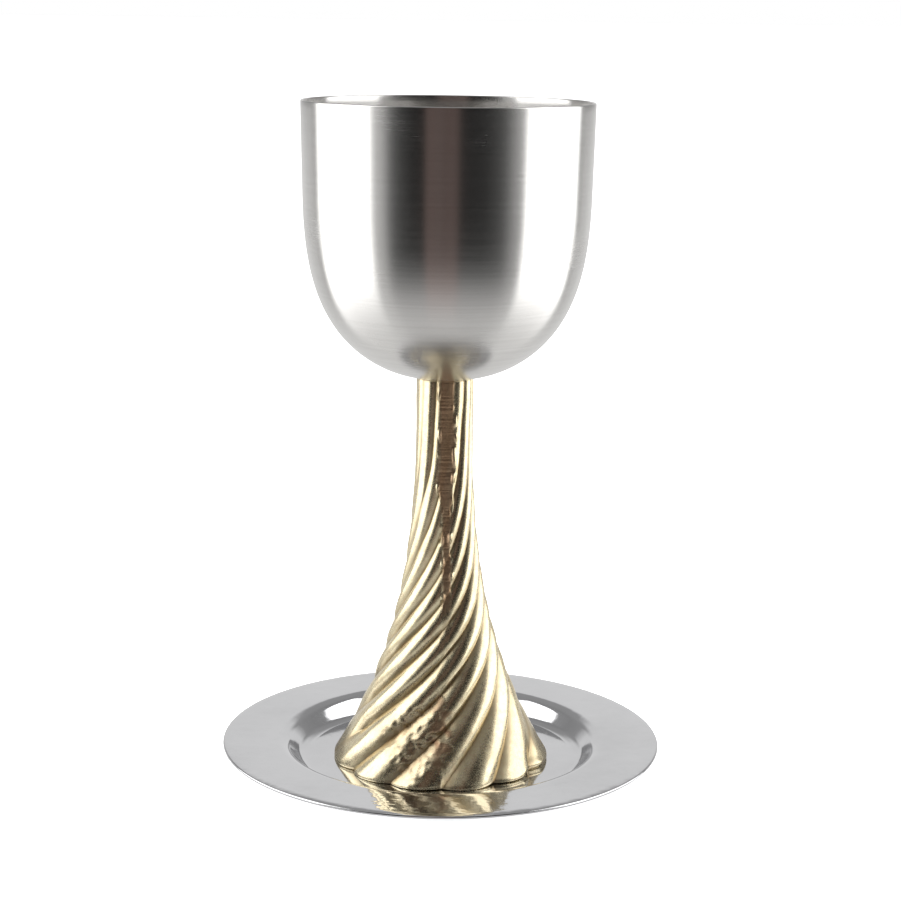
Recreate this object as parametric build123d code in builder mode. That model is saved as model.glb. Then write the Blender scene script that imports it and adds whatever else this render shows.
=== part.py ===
from build123d import *
from math import cos, pi, sin
import os

# Communion chalice standing on its paten.
# Origin: centre of the paten's underside. +Z up. The chalice's axis is the Z axis.
# Millimetres and degrees throughout.

# ---- Paten: a spun dish with a wide flat rim ----
PATEN_DIAMETER = 140.0
PATEN_SHEET = 1.0
PATEN_DEPTH = 6.2  # from the rim's top down to the top of the well's floor
WELL_FLOOR_RADIUS = 45.0  # where the floor would meet the sloping wall
WELL_TOP_RADIUS = 50.5  # where the wall would meet the rim
WELL_BEND = 5.0  # radius of both bends, at mid-sheet
ROUNDED_EDGE = 0.45  # radius of a rounded sheet edge, as a part of the sheet's thickness

# ---- Stem: a hollow brass casting with twisted ribs ----
STEM_HEIGHT = 124.4
FOOT_RADIUS = 35.0  # over the ribs, at the bottom edge
NECK_RADIUS = 9.0  # over the ribs, at the top
FLARE_HEIGHT = 120.0
FLARE_POWER = 2.8
RIBS = 16
RIB_DEPTH_FOOT = 1.4
RIB_DEPTH_NECK = 0.65
TWIST = 185.0  # all of it below TWIST_HEIGHT
TWIST_HEIGHT = 106.0
TWIST_AT_FOOT = 0.6  # how fast the ribs turn at the foot, as a part of their mean rate
RIB_START = -88.0  # direction of one crest at the bottom edge
SECTION_STEP = 4.0  # spacing of the lofted sections
CAVITY_FOOT_RADIUS = 31.0
CAVITY_TOP_RADIUS = 6.6
CAVITY_WALL = ((17.2, 28.0), (10.0, 53.0))  # radius and height of two points between
CAVITY_TOP_HEIGHT = 89.6  # where the cavity becomes a plain bore
SHELF_HEIGHT = 106.0  # underside of the solid head that the nut pulls against

# ---- Cup: a spun bowl ----
CUP_DIAMETER = 90.0
CUP_HEIGHT = 84.6
CUP_SHEET = 0.8
CUP_SEAT_RADIUS = 8.9  # flat that rests on the stem
CUP_WALL_START = (44.4, 56.0)  # radius and height where the near-straight wall starts
CUP_CURVE = ((17.0, 0.0), (38.0, 8.0), (43.8, 26.0))  # controls of the round bottom

# ---- Fastening inside the stem, M6 ----
STUD_DIAMETER = 6.0
STUD_CLEARANCE = 0.3
STUD_CHAMFER = 0.6
BOSS_RADIUS = 7.0
BOSS_HEIGHT = 3.2
BOSS_CHAMFER = 0.4
RECESS_CLEARANCE = 0.2
WASHER_OUTER_RADIUS = 6.0
WASHER_INNER_RADIUS = 3.2
WASHER_THICKNESS = 1.6
LOCK_OUTER_RADIUS = 5.9
LOCK_INNER_RADIUS = 3.1
LOCK_THICKNESS = 1.6
LOCK_GAP = 1.2
LOCK_GAP_SLANT = 20.0
NUT_ACROSS_FLATS = 10.0
NUT_HEIGHT = 5.0
THREAD_PLAY = 0.02
STUD_PAST_NUT = 3.0

# ---- Heights of the stack ----
foot_z = PATEN_SHEET
seat_z = foot_z + STEM_HEIGHT
rim_z = PATEN_SHEET + PATEN_DEPTH
shelf_z = foot_z + SHELF_HEIGHT
cavity_top_z = foot_z + CAVITY_TOP_HEIGHT
washer_z = shelf_z - WASHER_THICKNESS
lock_z = washer_z - LOCK_THICKNESS
nut_z = lock_z - NUT_HEIGHT
stud_z = nut_z - STUD_PAST_NUT
boss_z = seat_z - BOSS_HEIGHT


def crest_radius(height):
    """Radius over the ribs at a height above the foot's bottom edge."""
    left = max(0.0, 1.0 - height / FLARE_HEIGHT)
    return NECK_RADIUS + (FOOT_RADIUS - NECK_RADIUS) * left**FLARE_POWER


def rib_depth(height):
    """Crest to groove, shallower as the ribs crowd together towards the neck."""
    slim = (crest_radius(height) - NECK_RADIUS) / (FOOT_RADIUS - NECK_RADIUS)
    return RIB_DEPTH_NECK + (RIB_DEPTH_FOOT - RIB_DEPTH_NECK) * slim**0.5


def crest_angle(height):
    """Direction of the first crest: slow at the foot, fastest below the middle, straight at the neck."""
    u = min(height / TWIST_HEIGHT, 1.0)
    ease = TWIST_AT_FOOT * u * (1.0 - u) ** 2 + u**2 * (3.0 - 2.0 * u)
    return RIB_START + TWIST * ease


def polar(radius, degrees):
    return (radius * cos(degrees * pi / 180), radius * sin(degrees * pi / 180))


def draw_ribs(height):
    """One level of the casting: an arc over each rib, meeting its neighbours in a sharp groove."""
    crest = crest_radius(height)
    groove = crest - rib_depth(height)
    half_rib = 180 / RIBS
    for i in range(RIBS):
        middle = crest_angle(height) + 2 * half_rib * i
        ThreePointArc(
            polar(groove, middle - half_rib),
            polar(crest, middle),
            polar(groove, middle + half_rib),
        )


# ---- Paten ----
with BuildPart() as paten:
    half = PATEN_SHEET / 2
    with BuildSketch(Plane.XZ):
        with BuildLine():
            FilletPolyline(
                (0, half),
                (WELL_FLOOR_RADIUS, half),
                (WELL_TOP_RADIUS, rim_z - half),
                (PATEN_DIAMETER / 2, rim_z - half),
                radius=WELL_BEND,
            )
        trace(line_width=PATEN_SHEET)
    revolve(axis=Axis.Z)
    rim_edges = paten.edges().filter_by(GeomType.CIRCLE).group_by(SortBy.RADIUS)[-1]
    fillet(rim_edges, radius=ROUNDED_EDGE * PATEN_SHEET)
paten.part.label = "paten"


# ---- Stem ----
# Neighbouring sections turn by less than half a rib, so that each groove joins the right one above.
section_count = round(STEM_HEIGHT / SECTION_STEP) + 1

with BuildPart() as stem:
    for i in range(section_count):
        height = STEM_HEIGHT * i / (section_count - 1)
        with BuildSketch(Plane.XY.offset(foot_z + height)):
            with BuildLine():
                draw_ribs(height)
            make_face()
    loft()
    with BuildSketch(Plane.XZ):
        with BuildLine():
            Polyline(
                (CAVITY_TOP_RADIUS, cavity_top_z),
                (CAVITY_TOP_RADIUS, shelf_z),
                (0, shelf_z),
                (0, foot_z),
                (CAVITY_FOOT_RADIUS, foot_z),
            )
            Spline(
                (CAVITY_FOOT_RADIUS, foot_z),
                *[(radius, foot_z + height) for radius, height in CAVITY_WALL],
                (CAVITY_TOP_RADIUS, cavity_top_z),
            )
        make_face()
    revolve(axis=Axis.Z, mode=Mode.SUBTRACT)
    with Locations((0, 0, seat_z)):
        CounterBoreHole(
            radius=STUD_DIAMETER / 2 + STUD_CLEARANCE,
            counter_bore_radius=BOSS_RADIUS + RECESS_CLEARANCE,
            counter_bore_depth=BOSS_HEIGHT,
            depth=STEM_HEIGHT - SHELF_HEIGHT,
        )
stem.part.label = "stem"


# ---- Cup ----
with BuildPart() as cup:
    wall_start = (CUP_WALL_START[0], seat_z + CUP_WALL_START[1])
    with BuildSketch(Plane.XZ):
        with BuildLine():
            Line((0, seat_z), (CUP_SEAT_RADIUS, seat_z))
            Bezier(
                (CUP_SEAT_RADIUS, seat_z),
                *[(radius, seat_z + height) for radius, height in CUP_CURVE],
                wall_start,
            )
            Polyline(
                wall_start,
                (CUP_DIAMETER / 2, seat_z + CUP_HEIGHT),
                (0, seat_z + CUP_HEIGHT),
                (0, seat_z),
            )
        make_face()
    revolve(axis=Axis.Z)
    mouth = cup.faces().sort_by(Axis.Z)[-1]
    offset(amount=-CUP_SHEET, openings=mouth)
    fillet(cup.edges().group_by(Axis.Z)[-1], radius=ROUNDED_EDGE * CUP_SHEET)
cup.part.label = "cup"


# ---- Boss soldered under the cup, in the recess in the stem's top ----
with BuildPart() as cup_boss:
    with BuildSketch(Plane.XY.offset(boss_z)):
        Circle(BOSS_RADIUS)
        Circle(STUD_DIAMETER / 2 + THREAD_PLAY, mode=Mode.SUBTRACT)
    extrude(amount=BOSS_HEIGHT)
    lower_edges = cup_boss.edges().filter_by(GeomType.CIRCLE).group_by(Axis.Z)[0]
    chamfer(lower_edges.sort_by(SortBy.RADIUS)[-1], length=BOSS_CHAMFER)
cup_boss.part.label = "cup_boss"


# ---- Stud ----
with BuildPart() as stud:
    with BuildSketch(Plane.XY.offset(stud_z)):
        Circle(STUD_DIAMETER / 2)
    extrude(amount=seat_z - stud_z)
    chamfer(stud.edges().group_by(Axis.Z)[0], length=STUD_CHAMFER)
stud.part.label = "stud"


# ---- Plain washer ----
with BuildPart() as washer:
    with BuildSketch(Plane.XY.offset(washer_z)):
        Circle(WASHER_OUTER_RADIUS)
        Circle(WASHER_INNER_RADIUS, mode=Mode.SUBTRACT)
    extrude(amount=WASHER_THICKNESS)
washer.part.label = "washer"


# ---- Split spring washer, clamped flat ----
with BuildPart() as lock_washer:
    with BuildSketch(Plane.XY.offset(lock_z)):
        Circle(LOCK_OUTER_RADIUS)
        Circle(LOCK_INNER_RADIUS, mode=Mode.SUBTRACT)
        with Locations(((LOCK_OUTER_RADIUS + LOCK_INNER_RADIUS) / 2, 0)):
            Rectangle(LOCK_OUTER_RADIUS, LOCK_GAP, rotation=LOCK_GAP_SLANT, mode=Mode.SUBTRACT)
    extrude(amount=LOCK_THICKNESS)
lock_washer.part.label = "lock_washer"


# ---- Hexagon nut ----
with BuildPart() as nut:
    with BuildSketch(Plane.XY.offset(nut_z)):
        RegularPolygon(NUT_ACROSS_FLATS / 2, 6, major_radius=False)
    extrude(amount=NUT_HEIGHT)
    # A cone that opens upwards takes the lower corners off the hexagon.
    with BuildSketch(Plane.XY.offset(nut_z)):
        Circle(NUT_ACROSS_FLATS / 2)
    extrude(amount=NUT_HEIGHT, taper=-45, mode=Mode.INTERSECT)
    with Locations((0, 0, nut_z + NUT_HEIGHT)):
        Hole(STUD_DIAMETER / 2 + THREAD_PLAY)
nut.part.label = "nut"


os.makedirs("parts", exist_ok=True)
for piece in (paten, stem, cup, cup_boss, stud, washer, lock_washer, nut):
    export_step(piece.part, f"parts/{piece.part.label}.step")
    print(piece.part.label, round(piece.part.volume / 1000, 2), "cm3", piece.part.is_valid)
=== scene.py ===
from math import atan2, comb, cos, hypot, pi, radians, sin, sqrt, tan

import bpy
import numpy as np
from mathutils import Euler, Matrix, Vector, noise


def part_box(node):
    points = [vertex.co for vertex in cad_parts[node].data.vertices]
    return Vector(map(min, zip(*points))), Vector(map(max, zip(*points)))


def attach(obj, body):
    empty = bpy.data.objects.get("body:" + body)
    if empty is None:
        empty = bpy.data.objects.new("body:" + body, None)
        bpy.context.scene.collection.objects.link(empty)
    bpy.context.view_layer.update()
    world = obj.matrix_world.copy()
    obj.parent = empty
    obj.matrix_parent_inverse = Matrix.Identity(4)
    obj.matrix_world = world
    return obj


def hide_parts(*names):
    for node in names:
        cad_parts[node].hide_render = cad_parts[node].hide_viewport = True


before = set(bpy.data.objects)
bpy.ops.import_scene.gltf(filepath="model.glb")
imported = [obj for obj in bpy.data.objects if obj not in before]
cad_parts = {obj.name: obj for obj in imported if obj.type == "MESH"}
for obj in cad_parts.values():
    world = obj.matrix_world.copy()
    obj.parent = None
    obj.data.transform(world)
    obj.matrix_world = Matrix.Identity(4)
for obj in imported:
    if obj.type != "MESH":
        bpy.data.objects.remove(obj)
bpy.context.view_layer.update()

MM = 0.001

# ---------------------------------------------------------------- sizes
# Outer sizes come from the frame. Sheet gauges and outlines repeat the design. The number of ribs and
# their twist follow the photograph, and differ from the plain CAD stem.
paten_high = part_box("paten")[1]
stem_low, stem_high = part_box("stem")
cup_low, cup_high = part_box("cup")

PATEN_RADIUS = paten_high.x
PATEN_SHEET = 1.0 * MM
PATEN_RIM_Z = paten_high.z
WELL_FLOOR_RADIUS = 45.0 * MM
WELL_TOP_RADIUS = 50.5 * MM
WELL_BEND = 5.0 * MM

FOOT_Z = stem_low.z
STEM_HEIGHT = stem_high.z - stem_low.z
FOOT_RADIUS = 35.0 * MM
NECK_RADIUS = 9.0 * MM
FLARE_HEIGHT = 120.0 * MM
FLARE_POWER = 2.8
RIBS = 12
POINTS_PER_RIB = 32
SKIN_ROWS = 310
RIB_DEPTH_FOOT = 1.4 * MM
RIB_DEPTH_NECK = 0.65 * MM
TWIST = 247.0  # degrees, all of it below TWIST_HEIGHT
TWIST_HEIGHT = 106.0 * MM
TWIST_AT_FOOT = 0.6  # how fast the ribs turn at the foot, as a part of their mean rate
RIB_START = -74.0  # direction of one crest at the bottom edge
FOOT_EDGE = [(0.0, 1.5), (0.1, 0.5), (0.4, 0.2), (0.8, 0.05)]  # height and inset, mm
TOP_EDGE = [(0.6, 0.1), (0.25, 0.4), (0.0, 1.0)]  # depth below the top and inset, mm
CAVITY = [(31.0, 0.0), (22.5, 17.0), (13.0, 38.0), (7.8, 66.0), (6.6, 89.6)]  # controls, mm
BORE_RADIUS = 6.6 * MM
SHELF_HEIGHT = 106.0 * MM
STUD_HOLE_RADIUS = 3.3 * MM
RECESS_RADIUS = 7.2 * MM
RECESS_DEPTH = 3.2 * MM

# Where the sand mould left its marks: directions in degrees, -90 at the front, and heights.
RUBBED_AT = -158.0
CRUMBLED_AT = (-108.0, 13.0 * MM)
STAINED_AT = (-89.0, 17.0 * MM)
STAIN_SIZE = (5.0 * MM, 14.0 * MM)  # half width and half height

SEAT_Z = cup_low.z
CUP_HEIGHT = cup_high.z - cup_low.z
CUP_RADIUS = 45.0 * MM
CUP_SHEET = 0.8 * MM
CUP_WALL = [(8.9, 0.0), (17.0, 0.0), (38.0, 8.0), (43.8, 26.0), (44.4, 56.0)]  # controls, mm

THREAD_PITCH = 1.0 * MM
THREAD_DEPTH = 0.55 * MM
THREAD_GAP = 0.03 * MM
WASHER_HOLE = 3.2 * MM
LOCK_WASHER_HOLE = 3.1 * MM


# ---------------------------------------------------------------- outlines
def bezier(controls, count):
    """Points of one Bezier curve of any degree."""
    t = np.linspace(0.0, 1.0, count)[:, None]
    n = len(controls) - 1
    return sum(comb(n, k) * (1 - t) ** (n - k) * t**k * np.array(p) for k, p in enumerate(controls))


def rounded(corners, radius, steps=10):
    """A polyline in (radius, height) whose inner corners are arcs."""
    points = [np.array(corners[0])]
    for before, corner, after in zip(corners, corners[1:], corners[2:]):
        before, corner, after = (np.array(p, float) for p in (before, corner, after))
        a = (before - corner) / np.linalg.norm(before - corner)
        b = (after - corner) / np.linalg.norm(after - corner)
        half = np.arccos(np.clip(a @ b, -1, 1)) / 2
        centre = corner + (a + b) / np.linalg.norm(a + b) * radius / sin(half)
        start = corner + a * radius / tan(half)
        end = corner + b * radius / tan(half)
        a0 = atan2(*(start - centre)[::-1])
        a1 = atan2(*(end - centre)[::-1])
        turn = (a1 - a0 + pi) % (2 * pi) - pi
        for i in range(steps + 1):
            angle = a0 + turn * i / steps
            points.append(centre + radius * np.array((cos(angle), sin(angle))))
    points.append(np.array(corners[-1]))
    return np.array(points)


def spread(points, longest):
    """Adds points on runs longer than a given length."""
    out = [points[0]]
    for a, b in zip(points, points[1:]):
        parts = max(1, int(np.linalg.norm(b - a) / longest) + 1)
        out += [a + (b - a) * (i + 1) / parts for i in range(parts)]
    return np.array(out)


def normals(points):
    """Left-hand normals along an open outline."""
    along = np.gradient(points, axis=0)
    along /= np.linalg.norm(along, axis=1)[:, None]
    return np.stack([-along[:, 1], along[:, 0]], axis=1)


def round_edge(start, end, steps=6):
    """Points of the half circle that joins the two skins of a sheet."""
    middle = (start + end) / 2
    arm = start - middle
    side = np.array((-arm[1], arm[0]))
    turns = [pi * i / steps for i in range(1, steps)]
    return np.array([middle + cos(a) * arm + sin(a) * side for a in turns])


def smooth(low, high, value):
    """0 at low and before, 1 at high and past it, with an S-curve between; low may be above high."""
    t = min(max((value - low) / (high - low), 0.0), 1.0)
    return t * t * (3.0 - 2.0 * t)


# ---------------------------------------------------------------- meshes
def new_piece(name, verts, faces, body, material, replaces, crease=180):
    mesh = bpy.data.meshes.new(name)
    mesh.from_pydata([tuple(v) for v in verts], [], faces)
    mesh.update()
    mesh.shade_smooth()
    if crease < 180:
        mesh.set_sharp_from_angle(angle=radians(crease))
    piece = bpy.data.objects.new(name, mesh)
    bpy.context.scene.collection.objects.link(piece)
    mesh.materials.append(material)
    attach(piece, body)
    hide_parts(replaces)
    return piece


def ring_faces(rows, count, closed):
    faces = []
    for i in range(rows if closed else rows - 1):
        a, b = i * count, (i + 1) % rows * count
        for j in range(count):
            k = (j + 1) % count
            faces.append((a + j, a + k, b + k, b + j))
    return faces


def lathe(outline, count, shape=None):
    """Turns a closed loop or an axis-to-axis outline round Z; ends on the axis become one vertex.

    shape(radius, z, angle) may change the radius of each point.
    """
    on_axis = outline[0][0] < 1e-7
    rings = outline[1:-1] if on_axis else outline
    verts = []
    for r, z in rings:
        for j in range(count):
            angle = 2 * pi * j / count
            reach = shape(r, z, angle) if shape else r
            verts.append((reach * cos(angle), reach * sin(angle), z))
    faces = ring_faces(len(rings), count, not on_axis)
    if on_axis:
        first, last = len(verts), len(verts) + 1
        verts += [(0, 0, outline[0][1]), (0, 0, outline[-1][1])]
        top = (len(rings) - 1) * count
        for j in range(count):
            k = (j + 1) % count
            faces.append((first, k, j))
            faces.append((last, top + j, top + k))
    return verts, faces


# ---------------------------------------------------------------- node helpers
class Nodes:
    """A short way to write a node material."""

    def __init__(self, name):
        self.material = bpy.data.materials.new(name)
        self.material.use_nodes = True
        self.tree = self.material.node_tree
        self.shader = self.tree.nodes["Principled BSDF"]

    def link(self, value, socket):
        if isinstance(value, bpy.types.NodeSocket):
            self.tree.links.new(value, socket)
        else:
            socket.default_value = value

    def add(self, kind, **settings):
        node = self.tree.nodes.new(kind)
        for key, value in settings.items():
            setattr(node, key, value)
        return node

    def coords(self, stretch):
        """Object coordinates in metres times a stretch on each axis."""
        place = self.add("ShaderNodeTexCoord").outputs["Object"]
        scale = self.add("ShaderNodeVectorMath", operation="MULTIPLY")
        self.link(place, scale.inputs[0])
        scale.inputs[1].default_value = stretch
        return scale.outputs[0]

    def noise(self, stretch, detail=2.0, rough=0.5, distortion=0.0):
        node = self.add("ShaderNodeTexNoise")
        self.link(self.coords(stretch), node.inputs["Vector"])
        node.inputs["Scale"].default_value = 1.0
        node.inputs["Detail"].default_value = detail
        node.inputs["Roughness"].default_value = rough
        node.inputs["Distortion"].default_value = distortion
        return node.outputs["Fac"]

    def remap(self, value, low, high, to_low=0.0, to_high=1.0):
        node = self.add("ShaderNodeMapRange", clamp=True)
        for socket, number in zip(node.inputs, (value, low, high, to_low, to_high)):
            self.link(number, socket)
        return node.outputs[0]

    def maths(self, operation, a, b=0.0):
        node = self.add("ShaderNodeMath", operation=operation)
        self.link(a, node.inputs[0])
        self.link(b, node.inputs[1])
        return node.outputs[0]

    def mix(self, amount, a, b):
        node = self.add("ShaderNodeMix", data_type="RGBA")
        self.link(amount, node.inputs[0])
        self.link(a if not isinstance(a, tuple) else (*a, 1.0), node.inputs[6])
        self.link(b if not isinstance(b, tuple) else (*b, 1.0), node.inputs[7])
        return node.outputs[2]

    def bump(self, height, distance, strength=1.0, after=None):
        node = self.add("ShaderNodeBump")
        self.link(height, node.inputs["Height"])
        node.inputs["Distance"].default_value = distance
        node.inputs["Strength"].default_value = strength
        if after is not None:
            self.link(after, node.inputs["Normal"])
        return node.outputs["Normal"]

    def finish(self, colour, roughness, normal=None):
        self.shader.inputs["Metallic"].default_value = 1.0
        self.link(colour, self.shader.inputs["Base Color"])
        self.link(roughness, self.shader.inputs["Roughness"])
        if normal is not None:
            self.link(normal, self.shader.inputs["Normal"])
        return self.material


# ---------------------------------------------------------------- materials
def satin_steel():
    """Steel brushed round the Z axis: reflections stay sharp sideways and smear up and down."""
    n = Nodes("satin_steel")
    brush = n.noise((40, 40, 7000), detail=3.0, rough=0.6)
    lines = n.noise((6, 6, 1500), detail=2.0)
    cloud = n.noise((26, 26, 34), detail=4.0, rough=0.6, distortion=0.6)
    smudge = n.remap(cloud, 0.52, 0.70)
    colour = n.mix(n.remap(lines, 0.3, 0.7), (0.665, 0.652, 0.632), (0.705, 0.693, 0.674))
    colour = n.mix(n.maths("MULTIPLY", smudge, 0.15), colour, (0.56, 0.545, 0.525))
    rough = n.maths("ADD", n.remap(brush, 0.3, 0.7, 0.20, 0.26), n.maths("MULTIPLY", smudge, 0.04))
    tangent = n.add("ShaderNodeTangent", direction_type="RADIAL", axis="Z")
    n.link(tangent.outputs[0], n.shader.inputs["Tangent"])
    n.shader.inputs["Anisotropic"].default_value = 0.7
    n.shader.inputs["Anisotropic Rotation"].default_value = 0.25
    return n.finish(colour, rough, n.bump(lines, 0.0000015))


def polished_steel():
    """Mirror steel, slightly wavy from spinning, with fine handling scratches."""
    n = Nodes("polished_steel")
    wave = n.noise((38, 38, 38), detail=1.0)
    ripple = n.noise((210, 210, 210), detail=2.0)
    scratch = n.noise((1500, 90, 400), detail=3.0, rough=0.7, distortion=1.2)
    haze = n.noise((30, 30, 30), detail=4.0, rough=0.65)
    colour = n.mix(n.remap(haze, 0.4, 0.7), (0.70, 0.70, 0.71), (0.65, 0.65, 0.66))
    fine = n.remap(scratch, 0.62, 0.75, 0.0, 0.12)
    rough = n.maths("ADD", n.remap(haze, 0.35, 0.7, 0.045, 0.12), fine)
    place = n.add("ShaderNodeVectorMath", operation="LENGTH")
    n.link(n.coords((1, 1, 0)), place.inputs[0])
    on_rim = n.remap(place.outputs["Value"], 0.050, 0.054, 0.25, 1.0)
    normal = n.bump(wave, 0.0006, 0.35)
    normal = n.bump(n.maths("MULTIPLY", ripple, on_rim), 0.00014, 0.7, after=normal)
    normal = n.bump(scratch, 0.000004, 0.5, after=normal)
    return n.finish(colour, rough, normal)


def cast_brass():
    """Sand-cast brass: crests rubbed bright, grooves browner with patina and painted shade, moulding scars
    brown and matt.
    """
    n = Nodes("cast_brass")
    groove = n.add("ShaderNodeAttribute", attribute_name="groove").outputs["Fac"]
    scar = n.add("ShaderNodeAttribute", attribute_name="scar").outputs["Fac"]
    grain = n.noise((1900, 1900, 1900), detail=3.0, rough=0.65)
    coarse = n.noise((620, 620, 520), detail=3.0, rough=0.6)
    patch = n.noise((55, 55, 45), detail=3.0, rough=0.6, distortion=0.4)
    lines = n.noise((70, 70, 1500), detail=2.0)
    # Darker and browner towards each groove's bottom: partly patina, partly painted shade for the shade in
    # the grooves; random dull patches and mould scars add their own brown.
    patina_and_groove_shade = n.maths("ADD", n.remap(groove, 0.35, 1.0, 0.0, 0.75), n.remap(patch, 0.45, 0.75, 0.0, 0.35))
    patina_and_groove_shade = n.remap(n.maths("ADD", patina_and_groove_shade, n.maths("MULTIPLY", scar, 0.8)), 0.0, 1.2)
    colour = n.mix(patina_and_groove_shade, (0.82, 0.73, 0.50), (0.36, 0.275, 0.15))
    colour = n.mix(n.remap(coarse, 0.42, 0.68, 0.0, 0.40), colour, (0.58, 0.41, 0.26))
    colour = n.mix(n.remap(grain, 0.5, 0.7, 0.0, 0.25), colour, (0.50, 0.42, 0.20))
    colour = n.mix(n.maths("MULTIPLY", scar, 0.55), colour, (0.44, 0.26, 0.17))
    rough = n.maths("ADD", n.remap(patina_and_groove_shade, 0.0, 1.0, 0.22, 0.42), n.remap(grain, 0.4, 0.75, 0.0, 0.10))
    normal = n.bump(n.maths("MULTIPLY", lines, scar), 0.00020, 0.8)
    skin = n.remap(scar, 0.0, 0.3, 0.4, 1.6)
    normal = n.bump(n.maths("MULTIPLY", coarse, skin), 0.00008, 0.7, after=normal)
    normal = n.bump(n.maths("MULTIPLY", grain, skin), 0.00003, 0.7, after=normal)
    return n.finish(colour, rough, normal)


def plain_steel():
    """Bright zinc-plated hardware."""
    n = Nodes("plain_steel")
    stain = n.noise((240, 240, 240), detail=3.0, rough=0.6)
    turned = n.noise((200, 200, 5200), detail=2.0)
    colour = n.mix(n.remap(stain, 0.4, 0.7), (0.55, 0.55, 0.56), (0.42, 0.41, 0.40))
    rough = n.maths("ADD", n.remap(stain, 0.3, 0.7, 0.28, 0.42), n.remap(turned, 0.4, 0.7, 0.0, 0.06))
    return n.finish(colour, rough, n.bump(turned, 0.00002, 0.6))


# ---------------------------------------------------------------- paten
def make_paten(material):
    half = PATEN_SHEET / 2
    low, high = half, PATEN_RIM_Z - half
    corners = [(0, low), (WELL_FLOOR_RADIUS, low), (WELL_TOP_RADIUS, high), (PATEN_RADIUS - half, high)]
    middle = spread(rounded(corners, WELL_BEND, 14), 2.5 * MM)
    side = normals(middle) * half
    side[0] = (0, half)
    top, under = middle + side, middle - side
    bead = round_edge(under[-1], top[-1])
    verts, faces = lathe(np.vstack([under, bead, top[::-1]]), 288)
    new_piece("paten_spun_dish", verts, faces, "paten", material, "paten")


# ---------------------------------------------------------------- stem
def crest_radius(height):
    """Radius over the ribs at a height above the foot's bottom edge."""
    left = max(0.0, 1.0 - height / FLARE_HEIGHT)
    return NECK_RADIUS + (FOOT_RADIUS - NECK_RADIUS) * left**FLARE_POWER


def rib_depth(height):
    """Crest to groove, shallower as the ribs crowd together towards the neck."""
    slim = (crest_radius(height) - NECK_RADIUS) / (FOOT_RADIUS - NECK_RADIUS)
    return RIB_DEPTH_NECK + (RIB_DEPTH_FOOT - RIB_DEPTH_NECK) * slim**0.5


def crest_angle(height):
    """Direction of the first crest: slow at the foot, fastest below the middle, straight at the neck."""
    u = min(height / TWIST_HEIGHT, 1.0)
    ease = TWIST_AT_FOOT * u * (1.0 - u) ** 2 + u**2 * (3.0 - 2.0 * u)
    return radians(RIB_START + TWIST * ease)


def rib_radius(height, part):
    """Radius at a part, -0.5 to 0.5, of the way across one rib: one arc from groove to groove."""
    crest = crest_radius(height)
    groove = crest - rib_depth(height)
    half = pi / RIBS
    centre = (crest**2 - groove**2) / (2 * (crest - groove * cos(half)))
    turn = 2 * half * part
    return centre * cos(turn) + sqrt((crest - centre) ** 2 - (centre * sin(turn)) ** 2)


def seam_angle(height):
    """Direction of the mould's parting line on the front; there is another one behind."""
    return radians(-90 + 6 * smooth(20 * MM, 60 * MM, height))


def wrap(angle):
    """The same angle between -pi and pi."""
    return (angle + pi) % (2 * pi) - pi


def mould_turn(angle, height):
    """How far the pattern is turned from its plain law: the mould's two halves don't quite match."""
    off = wrap(angle - seam_angle(height))
    blend = radians(14)
    if abs(off) > pi / 2:
        off = -wrap(off + pi)
    right = smooth(-blend, blend, off)
    left_half = -3.0 * smooth(76 * MM, 97 * MM, height)
    right_half = 3.0 * smooth(104 * MM, 121 * MM, height)
    both = 7.0 * smooth(100 * MM, STEM_HEIGHT, height)
    both += 2.5 * smooth(36 * MM, 55 * MM, height) * smooth(80 * MM, 60 * MM, height)
    return radians(both + left_half + (right_half - left_half) * right)


def worn(radius, height, angle):
    """The ribs cut deeper towards the foot, rubbed on the left of the neck, and full at the foot's sides."""
    crest, depth = crest_radius(height), rib_depth(height)
    groove = (crest - radius) / depth
    radius -= MM * (0.15 + 0.85 * smooth(60 * MM, 15 * MM, height)) * groove

    rubbed = 1.0 - smooth(radians(18), radians(42), abs(wrap(angle - radians(RUBBED_AT))))
    rubbed *= smooth(58 * MM, 92 * MM, height)
    radius += (crest - 0.1 * depth - radius) * 0.8 * rubbed

    side = smooth(0.90, 0.99, abs(cos(angle))) * smooth(22 * MM, 8 * MM, height)
    return radius + (crest - radius) * 0.95 * side


def seam_marks(radius, height, angle, spot):
    """The flat strip along the mould's seam, lumps on its borders, and a thin fin lower down."""
    crest, depth = crest_radius(height), rib_depth(height)
    off = (angle - seam_angle(height) + pi / 2) % pi - pi / 2
    off_seam = crest * off + 0.5 * MM * noise.noise(spot * 160.0)
    upper = smooth(40 * MM, 62 * MM, height)
    wide = MM * (1.0 + 0.9 * smooth(78 * MM, 92 * MM, height))
    flat = 1.0 - smooth(0.9 * wide, 1.5 * wide, abs(off_seam))
    flat *= 0.10 + 0.80 * upper
    radius += (crest - 0.55 * depth - radius) * flat

    lumps = noise.noise(Vector((spot.x, spot.y, height * 0.7)) * 420.0 + Vector((5.0, 2.0, 8.0)))
    border = 1.0 - smooth(0.3 * MM, 0.9 * MM, abs(abs(off_seam) - 1.25 * wide))
    radius += 1.5 * MM * border * max(0.0, lumps - 0.08) * (0.15 + 0.85 * upper)
    flash = 1.0 - smooth(0.0, 0.7 * MM, abs(off_seam))
    fin = 0.2 + 0.7 * smooth(26 * MM, 8 * MM, height)
    radius += fin * MM * flash * (1.0 - upper) * max(0.0, 0.1 + noise.noise(spot * 260.0))
    return radius, 1.2 * flat * upper


def crumbled(height, angle, spot):
    """How far the sand crumbled in a patch low on the front: 1 in its middle, 0 outside it."""
    place, middle = CRUMBLED_AT
    away = hypot(crest_radius(height) * wrap(angle - radians(place)), height - middle)
    return 1.0 - smooth(5 * MM, 15 * MM, away + 4 * MM * noise.noise(spot * 120.0))


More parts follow.
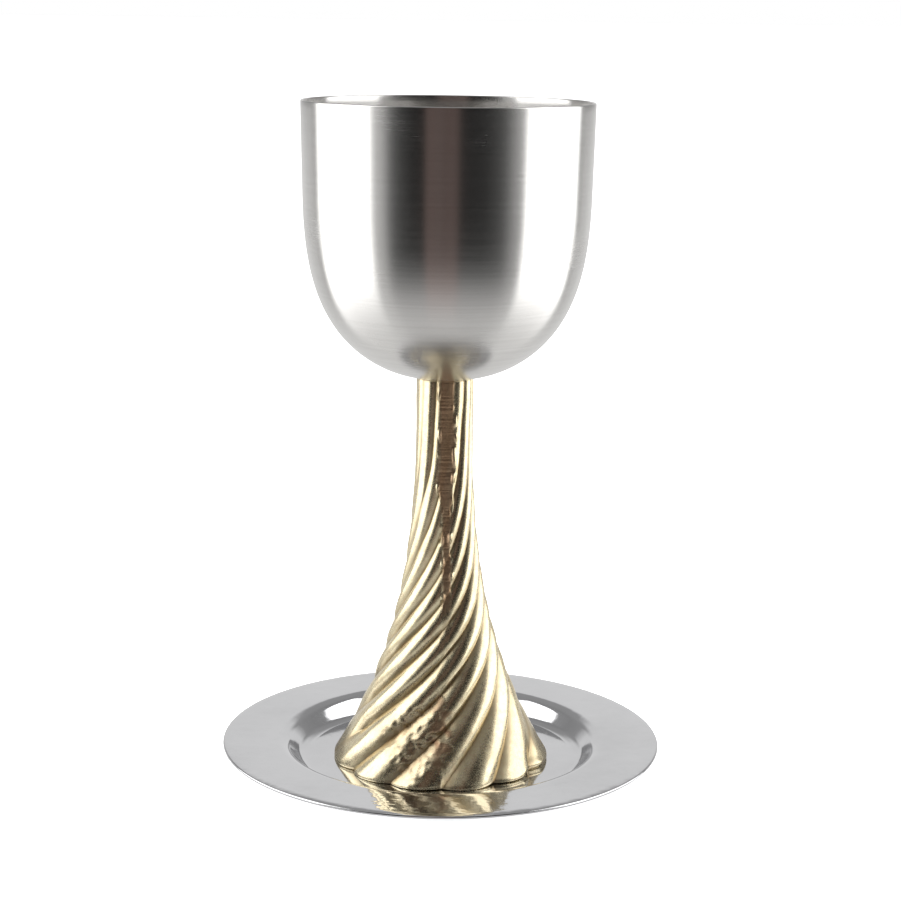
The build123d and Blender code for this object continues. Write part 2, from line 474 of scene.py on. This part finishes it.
def stained(height, angle, spot):
    """Dark spots inside an upright ellipse on the front of the foot."""
    place, middle = STAINED_AT
    across = crest_radius(height) * wrap(angle - radians(place)) / STAIN_SIZE[0]
    inside = 1.0 - smooth(0.4, 1.0, hypot(across, (height - middle) / STAIN_SIZE[1]))
    return inside * smooth(0.0, 0.25, noise.noise(spot * 330.0 + Vector((3.0, 1.0, 4.0))))


def casting(height, angle, part):
    """Radius, groove and scar of the casting's skin, with the marks of its sand mould."""
    crest = crest_radius(height)
    plain = rib_radius(height, part)
    groove = (crest - plain) / rib_depth(height)
    spot = Vector((crest * cos(angle), crest * sin(angle), height))
    radius, seam_scar = seam_marks(worn(plain, height, angle), height, angle, spot)

    rough = noise.noise(spot * 620.0)
    loose = crumbled(height, angle, spot)
    radius += MM * loose * (0.35 * noise.noise(spot * 400.0) + 0.35 * rough)

    swell = noise.noise(spot * 70.0)
    dents = noise.noise(spot * 210.0)
    size = 0.45 + 0.55 * crest / FOOT_RADIUS
    radius += MM * size * (0.16 * (swell - 0.5) + 0.10 * dents + 0.02 * rough)
    scar = min(1.0, seam_scar + 0.25 * loose + 0.9 * stained(height, angle, spot))
    return radius, min(1.0, groove), scar


def foot_gap(angle):
    """Height of the foot's uneven edge above the plate, largest on the right of the front."""
    turn = wrap(angle - radians(-90))
    gap = 0.25 * MM * (0.6 + noise.noise(Vector((cos(angle), sin(angle), 0.0)) * 2.4))
    gap += 0.45 * MM * smooth(radians(18), radians(34), turn) * smooth(radians(110), radians(60), turn)
    gap += 0.70 * MM * smooth(radians(50), radians(52), turn) * smooth(radians(100), radians(60), turn)
    return gap


def make_stem(material):
    count = RIBS * POINTS_PER_RIB
    skin = [(h * MM, inset * MM) for h, inset in FOOT_EDGE]
    skin += [(h, 0.0) for h in np.linspace(1.2 * MM, STEM_HEIGHT - 1.0 * MM, SKIN_ROWS)]
    skin += [(STEM_HEIGHT - drop * MM, inset * MM) for drop, inset in TOP_EDGE]
    recess_floor = STEM_HEIGHT - RECESS_DEPTH
    hollow = [(r * MM, h * MM) for r, h in bezier(CAVITY, 30)]
    hollow += [(BORE_RADIUS, SHELF_HEIGHT), (STUD_HOLE_RADIUS, SHELF_HEIGHT)]
    hollow += [(STUD_HOLE_RADIUS, recess_floor), (RECESS_RADIUS, recess_floor), (RECESS_RADIUS, STEM_HEIGHT)]

    verts, groove, scar = [], [], []
    for h, inset in skin:
        start = crest_angle(h)
        ragged = smooth(5 * MM, 0.0, h)
        for j in range(count):
            part = (j / POINTS_PER_RIB + 0.5) % 1.0 - 0.5
            angle = start + 2 * pi * j / count
            angle += mould_turn(angle, h)
            radius, dip, mark = casting(h, angle, part)
            spot = Vector((radius * cos(angle), radius * sin(angle), h))
            angle += 0.018 * noise.noise(spot * 45.0 + Vector((7.0, 3.0, 1.0)))
            radius -= inset
            stands = inset > 1.0 * MM
            lift = 0.0 if stands else foot_gap(angle) * ragged
            verts.append((radius * cos(angle), radius * sin(angle), FOOT_Z + h + lift))
            groove.append(dip)
            scar.append(mark)
    for r, h in hollow[::-1]:
        start = crest_angle(h)
        for j in range(count):
            angle = start + 2 * pi * j / count
            angle += mould_turn(angle, h)
            verts.append((r * cos(angle), r * sin(angle), FOOT_Z + h))
            # The hollow takes the darkest groove colour: patina and painted shade alike.
            groove.append(1.0)
            scar.append(0.3)
    faces = ring_faces(len(skin) + len(hollow), count, True)
    piece = new_piece("stem_casting", verts, faces, "chalice", material, "stem", crease=60)
    # The groove attribute darkens the brass towards each groove's bottom: partly patina, partly painted
    # shade.
    for name, values in (("groove", groove), ("scar", scar)):
        layer = piece.data.attributes.new(name, "FLOAT", "POINT")
        layer.data.foreach_set("value", values)


# ---------------------------------------------------------------- cup
def make_cup(material):
    curve = bezier([(r * MM, SEAT_Z + z * MM) for r, z in CUP_WALL], 60)
    top = np.array((CUP_RADIUS, SEAT_Z + CUP_HEIGHT - CUP_SHEET / 2))
    outer = spread(np.vstack([[(0, SEAT_Z)], curve, [top]]), 2.0 * MM)
    inner = outer + normals(outer) * CUP_SHEET
    inner[0] = (0, SEAT_Z + CUP_SHEET)
    lip = round_edge(outer[-1], inner[-1])
    verts, faces = lathe(np.vstack([outer, lip, inner[::-1]]), 288)
    new_piece("cup_spun_bowl", verts, faces, "chalice", material, "cup")


# ---------------------------------------------------------------- fastening inside the stem
def thread(z, angle):
    """Depth of an M6 thread below its major diameter."""
    turn = (z / THREAD_PITCH - angle / (2 * pi)) % 1.0
    return THREAD_DEPTH * min(max(1.25 - abs(4.0 * turn - 2.0) * 0.75, 0.0), 1.0)


def make_stud(material):
    low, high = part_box("stud")
    radius = high.x
    rows = np.arange(low.z + 0.5 * THREAD_DEPTH, high.z, THREAD_PITCH / 8)
    outline = [(0, low.z), (radius - THREAD_DEPTH, low.z)] + [(radius, z) for z in rows]
    outline += [(radius, high.z), (0, high.z)]

    def shape(r, z, angle):
        lead = max(0.0, 1.0 - (z - low.z) / THREAD_DEPTH)
        return min(r, radius - max(thread(z, angle), lead * THREAD_DEPTH))

    verts, faces = lathe(np.array(outline), 40, shape)
    new_piece("threaded_stud", verts, faces, "chalice", material, "stud", crease=50)


def make_nut(material):
    low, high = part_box("nut")
    flats = (high.y - low.y) / 2
    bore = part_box("stud")[1].x
    height = high.z - low.z
    steps = int(8 * height / THREAD_PITCH)
    inner = [(bore, low.z + height * i / steps) for i in range(steps + 1)]
    outer = [(2 * flats, low.z + height * t) for t in (1.0, 0.93, 0.86, 0.5, 0.14, 0.07, 0.0)]

    def shape(r, z, angle):
        if r < 1.5 * bore:
            mouth = max(0.0, 1.0 - min(z - low.z, high.z - z) / THREAD_DEPTH)
            return bore + THREAD_GAP - thread(z, angle) * (1.0 - mouth)
        hexagon = flats / cos((angle + pi / 6) % (pi / 3) - pi / 6)
        cone = 0.97 * flats + 1.7 * min(z - low.z, high.z - z)
        return min(hexagon, cone)

    verts, faces = lathe(np.array(inner + outer), 96, shape)
    new_piece("hexagon_nut", verts, faces, "chalice", material, "nut", crease=30)


def rounded_ring(inner, outer, low, high, edge):
    """Section of a flat ring with small round edges, as a closed loop."""
    corners = [(inner, low), (inner, high), (outer, high), (outer, low)]
    loop = []
    for i, (r, z) in enumerate(corners):
        sign_r = 1 if r == inner else -1
        sign_z = 1 if z == low else -1
        centre = (r + sign_r * edge, z + sign_z * edge)
        first = 1.5 * pi - i * pi / 2
        for k in range(4):
            a = first - k * pi / 6
            loop.append((centre[0] + edge * cos(a), centre[1] + edge * sin(a)))
    return loop


def make_washer(material):
    low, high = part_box("washer")
    loop = rounded_ring(WASHER_HOLE, high.x, low.z, high.z, 0.2 * MM)
    verts, faces = lathe(np.array(loop), 96)
    new_piece("plain_washer", verts, faces, "chalice", material, "washer", crease=50)


def make_lock_washer(material):
    """A spring washer: a ring cut on the slant, with its ends a little apart."""
    low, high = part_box("lock_washer")
    outer = high.y
    loop = rounded_ring(LOCK_WASHER_HOLE, outer, low.z, high.z, 0.15 * MM)
    gap = radians(8)
    slant = radians(14)
    steps = 72
    verts = []
    for i in range(steps + 1):
        for r, z in loop:
            lean = slant * ((r - LOCK_WASHER_HOLE) / (outer - LOCK_WASHER_HOLE) - 0.5)
            angle = gap + lean + (2 * pi - 2 * gap) * i / steps
            verts.append((r * cos(angle), r * sin(angle), z))
    size = len(loop)
    faces = ring_faces(steps + 1, size, False)
    faces += [tuple(range(size))[::-1], tuple(steps * size + k for k in range(size))]
    new_piece("split_lock_washer", verts, faces, "chalice", material, "lock_washer", crease=50)


def make_boss(material):
    low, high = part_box("cup_boss")
    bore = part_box("stud")[1].x
    loop = rounded_ring(bore + THREAD_GAP, high.x, low.z, high.z, 0.3 * MM)
    verts, faces = lathe(np.array(loop), 96)
    new_piece("soldered_boss", verts, faces, "chalice", material, "cup_boss", crease=50)


# ---------------------------------------------------------------- studio
REACH = 0.72  # distance of the surroundings that the polished metal reflects
WALL_TOP = 1.10
CEILING = 1.35
TABLE_NEAR = 0.062  # the reflected table starts just inside the paten's rim
TABLE_Z = 0.004
TABLE_LIGHT = 0.66
CEILING_LIGHT = 0.33
BACK_DIMMING = 0.55  # how much darker the wall behind is where dim_back says 1
SOFTBOX = 2.3
STRIPE_TINT = (1.0, 0.72, 0.66)

# The surroundings by azimuth, 0 at the front and right positive: degrees, brightness, tint.
AROUND = [
    (-180, 0.78, 0), (-148, 0.76, 0), (-130, 0.64, 0), (-119.5, 0.24, 0), (-119, SOFTBOX, 0),
    (-60, SOFTBOX, 0), (-59.5, 0.56, 0), (-49, 0.50, 0), (-46, 0.22, 0), (-40, 0.075, 0),
    (-34, 0.04, 0), (-26, 0.015, 0), (-17, 0.01, 0),
    (-16.5, 0.10, 1), (-14, 0.15, 1), (-9, 0.11, 1), (-6, 0.13, 0.8), (-3, 0.10, 1), (4, 0.12, 1),
    (8, 0.11, 1), (9, 0.03, 0.5), (14, 0.015, 0), (28, 0.02, 0), (38, 0.05, 0), (44, 0.09, 0),
    (48, 0.19, 0), (53, 0.32, 0), (61, 0.42, 0), (62, SOFTBOX, 0), (120, SOFTBOX, 0),
    (120.5, 0.22, 0), (130, 0.62, 0), (148, 0.76, 0), (180, 0.78, 0),
]


def around(azimuth):
    """Brightness and tint between the listed azimuths."""
    places, lights, tints = zip(*AROUND)
    return np.interp(azimuth, places, lights), np.interp(azimuth, places, tints)


def dim_back(azimuth, z):
    """How far the wall behind is darkened: high up, and lower down beside its middle."""
    behind = smooth(118, 132, abs(azimuth))
    beside = behind * smooth(164, 150, abs(azimuth))
    return max(behind * smooth(0.34, 0.48, z), beside * smooth(0.14, 0.24, z))


def table_light(own, fade):
    """The table is pale near the object and takes the wall's brightness further out."""
    return own + (TABLE_LIGHT * (1.0 + 0.25 * min(own, 1.0)) - own) * fade


def glow_material():
    """Emission with the colour kept in the mesh's light attribute."""
    material = bpy.data.materials.new("surroundings")
    material.use_nodes = True
    tree = material.node_tree
    tree.nodes.clear()
    light = tree.nodes.new("ShaderNodeAttribute")
    light.attribute_name = "light"
    shine = tree.nodes.new("ShaderNodeEmission")
    out = tree.nodes.new("ShaderNodeOutputMaterial")
    tree.links.new(light.outputs["Color"], shine.inputs["Color"])
    tree.links.new(shine.outputs[0], out.inputs[0])
    return material


def make_surroundings():
    """A closed studio round the object, from the table up to a dim ceiling, seen only in reflections."""
    table = [(r, TABLE_Z) for r in np.linspace(TABLE_NEAR, REACH, 16)]
    wall = [(REACH, z) for z in (0.14, 0.24, 0.34, 0.48, 0.8, WALL_TOP)]
    ceiling = [(0.97 * REACH, WALL_TOP + 0.02), (0.5 * REACH, CEILING), (0.01, CEILING + 0.02)]
    profile = table + wall + ceiling
    azimuths = sorted({place for place, _, _ in AROUND} | set(range(-180, 180, 4)))
    verts, lights = [], []
    for azimuth in azimuths:
        own, tint = around(azimuth)
        for k, (r, z) in enumerate(profile):
            verts.append((r * sin(radians(azimuth)), -r * cos(radians(azimuth)), z))
            fade = 1.0 - smooth(0.10, 0.44, r) if k < len(table) else 0.0
            strength = table_light(own, fade) * (1.0 - BACK_DIMMING * dim_back(azimuth, z))
            share = tint * (1.0 - fade)
            if k >= len(table) + len(wall):
                strength, share = CEILING_LIGHT, 0.0
            lights += [strength * (1.0 + (part - 1.0) * share) for part in STRIPE_TINT] + [1.0]
    size = len(profile)
    faces = []
    for i in range(len(azimuths) - 1):
        for k in range(size - 1):
            here = i * size + k
            faces.append((here, here + size, here + size + 1, here + 1))

    mesh = bpy.data.meshes.new("surroundings")
    mesh.from_pydata(verts, [], faces)
    mesh.materials.append(glow_material())
    layer = mesh.attributes.new("light", "FLOAT_COLOR", "POINT")
    layer.data.foreach_set("color", lights)
    room = bpy.data.objects.new("surroundings", mesh)
    bpy.context.scene.collection.objects.link(room)
    room.visible_camera = False
    room.visible_diffuse = False
    room.visible_shadow = False
    room.visible_transmission = False


def make_floor():
    material = bpy.data.materials.new("pale_floor")
    material.use_nodes = True
    shader = material.node_tree.nodes["Principled BSDF"]
    shader.inputs["Base Color"].default_value = (0.96, 0.96, 0.96, 1.0)
    shader.inputs["Roughness"].default_value = 0.8
    shader.inputs["Specular IOR Level"].default_value = 0.1
    shader.inputs["Emission Color"].default_value = (1.0, 1.0, 1.0, 1.0)
    shader.inputs["Emission Strength"].default_value = 0.5
    mesh = bpy.data.meshes.new("floor")
    mesh.from_pydata([(-20, -20, 0), (20, -20, 0), (20, 60, 0), (-20, 60, 0)], [], [(0, 1, 2, 3)])
    mesh.materials.append(material)
    floor = bpy.data.objects.new("floor", mesh)
    bpy.context.scene.collection.objects.link(floor)


def area_light(name, place, target, size, power):
    light = bpy.data.lights.new(name, "AREA")
    light.shape = "RECTANGLE"
    light.size, light.size_y = size
    light.energy = power
    lamp = bpy.data.objects.new(name, light)
    lamp.location = place
    lamp.rotation_euler = (Vector(target) - Vector(place)).to_track_quat("-Z", "Y").to_euler()
    lamp.visible_glossy = False
    bpy.context.scene.collection.objects.link(lamp)


def make_studio():
    make_floor()
    world = bpy.data.worlds.new("studio")
    bpy.context.scene.world = world
    world.use_nodes = True
    world.node_tree.nodes["Background"].inputs["Color"].default_value = (1.0, 1.0, 1.0, 1.0)
    world.node_tree.nodes["Background"].inputs["Strength"].default_value = 1.0

    make_surroundings()
    area_light("key_left", (-0.9, -0.1, 0.5), (0, 0, 0.1), (0.8, 1.0), 12)
    area_light("key_right", (0.9, -0.1, 0.5), (0, 0, 0.1), (0.8, 1.0), 12)
    area_light("overhead", (0, 0.1, 1.6), (0, 0, 0), (2.4, 2.4), 30)


# ---------------------------------------------------------------- camera
def make_camera():
    """A long lens a little above the cup's middle, tipped down, as product photographs are taken."""
    camera = bpy.data.cameras.new("camera")
    camera.sensor_width = 36.0
    camera.lens = 83.75
    eye = bpy.data.objects.new("camera", camera)
    eye.location = (2.0 * MM, -645.2 * MM, PATEN_RIM_Z + 228.8 * MM)
    eye.rotation_euler = Euler((radians(90 - 11.78), 0.0, 0.0))
    eye.rotation_euler.rotate_axis("Z", radians(0.75))
    bpy.context.scene.collection.objects.link(eye)
    bpy.context.scene.camera = eye


make_camera()
make_studio()
make_paten(polished_steel())
make_stem(cast_brass())
make_cup(satin_steel())
steel = plain_steel()
make_boss(steel)
make_stud(steel)
make_washer(steel)
make_lock_washer(steel)
make_nut(steel)

bpy.context.scene.view_settings.view_transform = "Standard"
